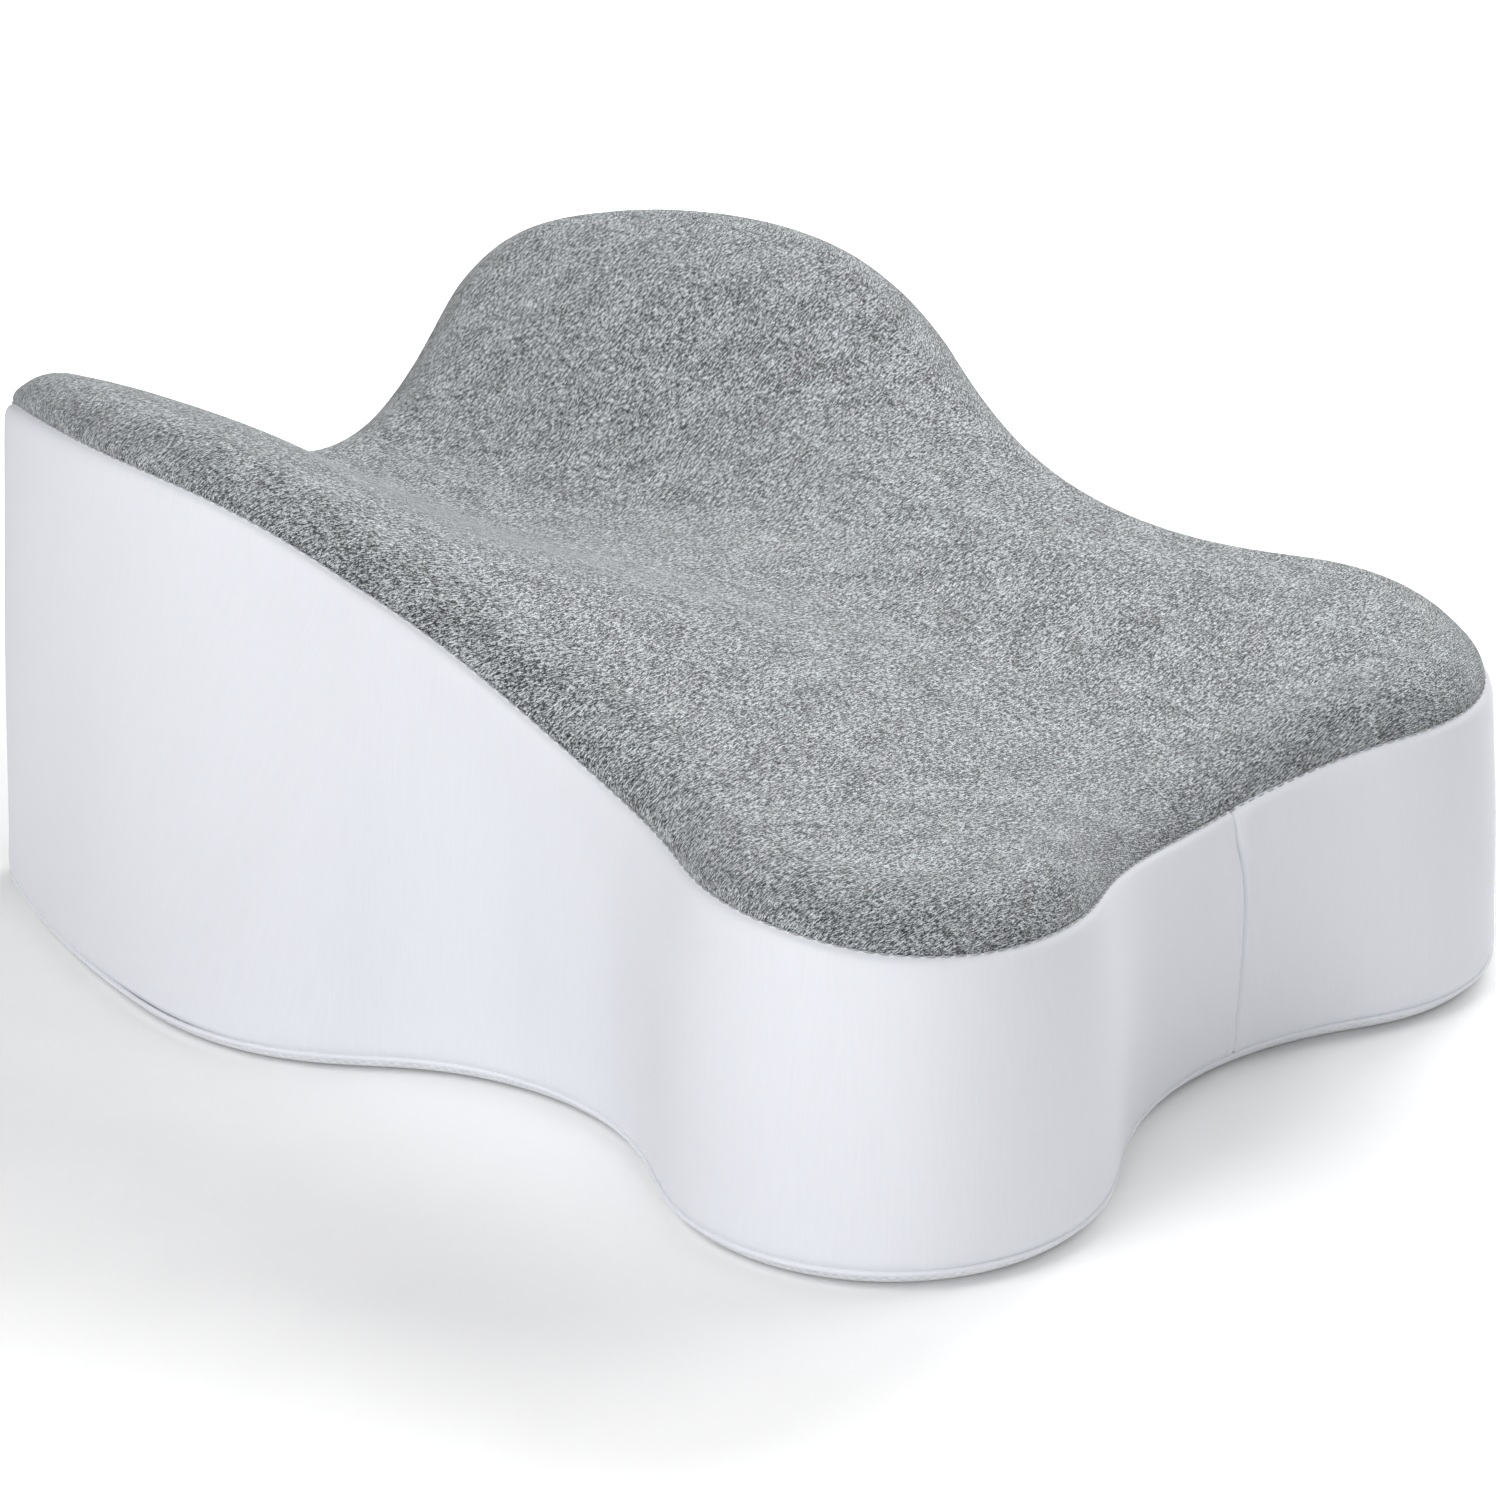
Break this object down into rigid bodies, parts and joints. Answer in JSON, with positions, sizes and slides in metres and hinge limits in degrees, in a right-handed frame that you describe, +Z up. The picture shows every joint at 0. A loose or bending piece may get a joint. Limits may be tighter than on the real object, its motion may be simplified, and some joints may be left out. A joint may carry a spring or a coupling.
{
  "type": "cervical traction pillow",
  "caption": "Contoured foam neck traction pillow: head valley between two raised wings, low shoulder end, grey knit top, white knit sides, zipped base.",
  "frame": {"origin": "bottom centre of the bounding box, on the face that rests on the bed", "axes": "+Z up, +Y towards the head end with the raised wings, +X to the right seen from the shoulder end"},
  "size_m": [0.238, 0.302, 0.1259],
  "materials": {
    "memory_foam": "matte open-cell foam",
    "liner_knit": "thin matte jersey",
    "liner_thread": "matte thread",
    "heather_knit": "matte grey melange knit",
    "white_knit": "smooth white knit with a soft sheen",
    "white_thread": "matte thread",
    "piping": "smooth knit-covered cord",
    "base_knit": "white knit, underside",
    "zip_tape": "woven polyester tape",
    "zip_nylon": "white nylon",
    "zip_metal": "white painted zinc"
  },
  "bodies": {
    "cushion": {"foam_core": "memory_foam", "liner_upper": "liner_knit", "liner_base": "liner_knit", "liner_seam": "liner_thread", "top_panel": "heather_knit", "side_panel_left": "white_knit", "side_panel_right": "white_knit", "base_panel_front": "base_knit", "base_panel_rear": "base_knit", "top_seam_thread": "white_thread", "front_seam_thread": "white_thread", "rear_seam_thread": "white_thread", "base_piping": "piping", "base_end_seams": "white_thread", "zip_tape_front": "zip_tape", "zip_tape_rear": "zip_tape", "zip_coil_front": "zip_nylon", "zip_coil_rear": "zip_nylon", "zip_top_stops": "zip_nylon", "zip_bottom_stop": "zip_nylon", "zip_stitching": "white_thread"},
    "slider": {"zip_slider": "zip_metal"},
    "pull": {"zip_pull": "zip_metal"}
  },
  "joints": [
    {"name": "slider_travel", "type": "slide", "parent": "cushion", "child": "slider", "axis": [-1, 0, 0], "range_m": [0, 0.156]},
    {"name": "pull_swing", "type": "hinge", "parent": "slider", "child": "pull", "pos_m": [0.078, 0.03, 0.0016], "axis": [0, -1, 0], "range_deg": [0, 180]}
  ]
}
